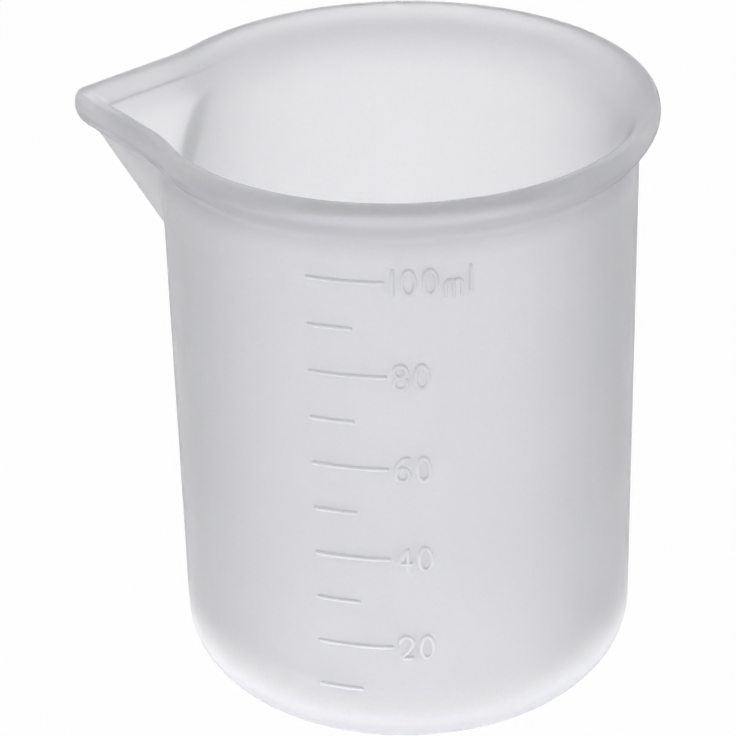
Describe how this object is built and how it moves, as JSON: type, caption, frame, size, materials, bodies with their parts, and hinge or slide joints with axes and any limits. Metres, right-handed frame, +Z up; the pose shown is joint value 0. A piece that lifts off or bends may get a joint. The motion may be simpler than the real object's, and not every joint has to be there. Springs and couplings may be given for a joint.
{
  "type": "silicone measuring cup",
  "caption": "Small flexible beaker in frosted silicone with a rolled rim, a pouring spout and a raised millilitre scale, for measuring and mixing resin or other liquids.",
  "frame": {"origin": "centre of the flat underside, on the axis of the cup", "axes": "+Z up along the axis of the cup, -X along the pouring spout, -Y towards the side with the scale"},
  "size_m": [0.0636, 0.0564, 0.0688],
  "materials": {
    "frosted_silicone": "translucent frosted silicone, matt as moulded"
  },
  "bodies": {
    "root": {"cup_floor": "frosted_silicone", "base_corner": "frosted_silicone", "cup_wall": "frosted_silicone", "rim_bead": "frosted_silicone", "pour_spout": "frosted_silicone", "spout_lip": "frosted_silicone", "mark_010": "frosted_silicone", "mark_020": "frosted_silicone", "mark_030": "frosted_silicone", "mark_040": "frosted_silicone", "mark_050": "frosted_silicone", "mark_060": "frosted_silicone", "mark_070": "frosted_silicone", "mark_080": "frosted_silicone", "mark_090": "frosted_silicone", "mark_100": "frosted_silicone", "label_20_1_2": "frosted_silicone", "label_20_2_0": "frosted_silicone", "label_40_1_4": "frosted_silicone", "label_40_2_0": "frosted_silicone", "label_60_1_6": "frosted_silicone", "label_60_2_0": "frosted_silicone", "label_80_1_8": "frosted_silicone", "label_80_2_0": "frosted_silicone", "label_100_1_1": "frosted_silicone", "label_100_2_0": "frosted_silicone", "label_100_3_0": "frosted_silicone", "label_100_4_m": "frosted_silicone", "label_100_5_l": "frosted_silicone"}
  },
  "joints": []
}
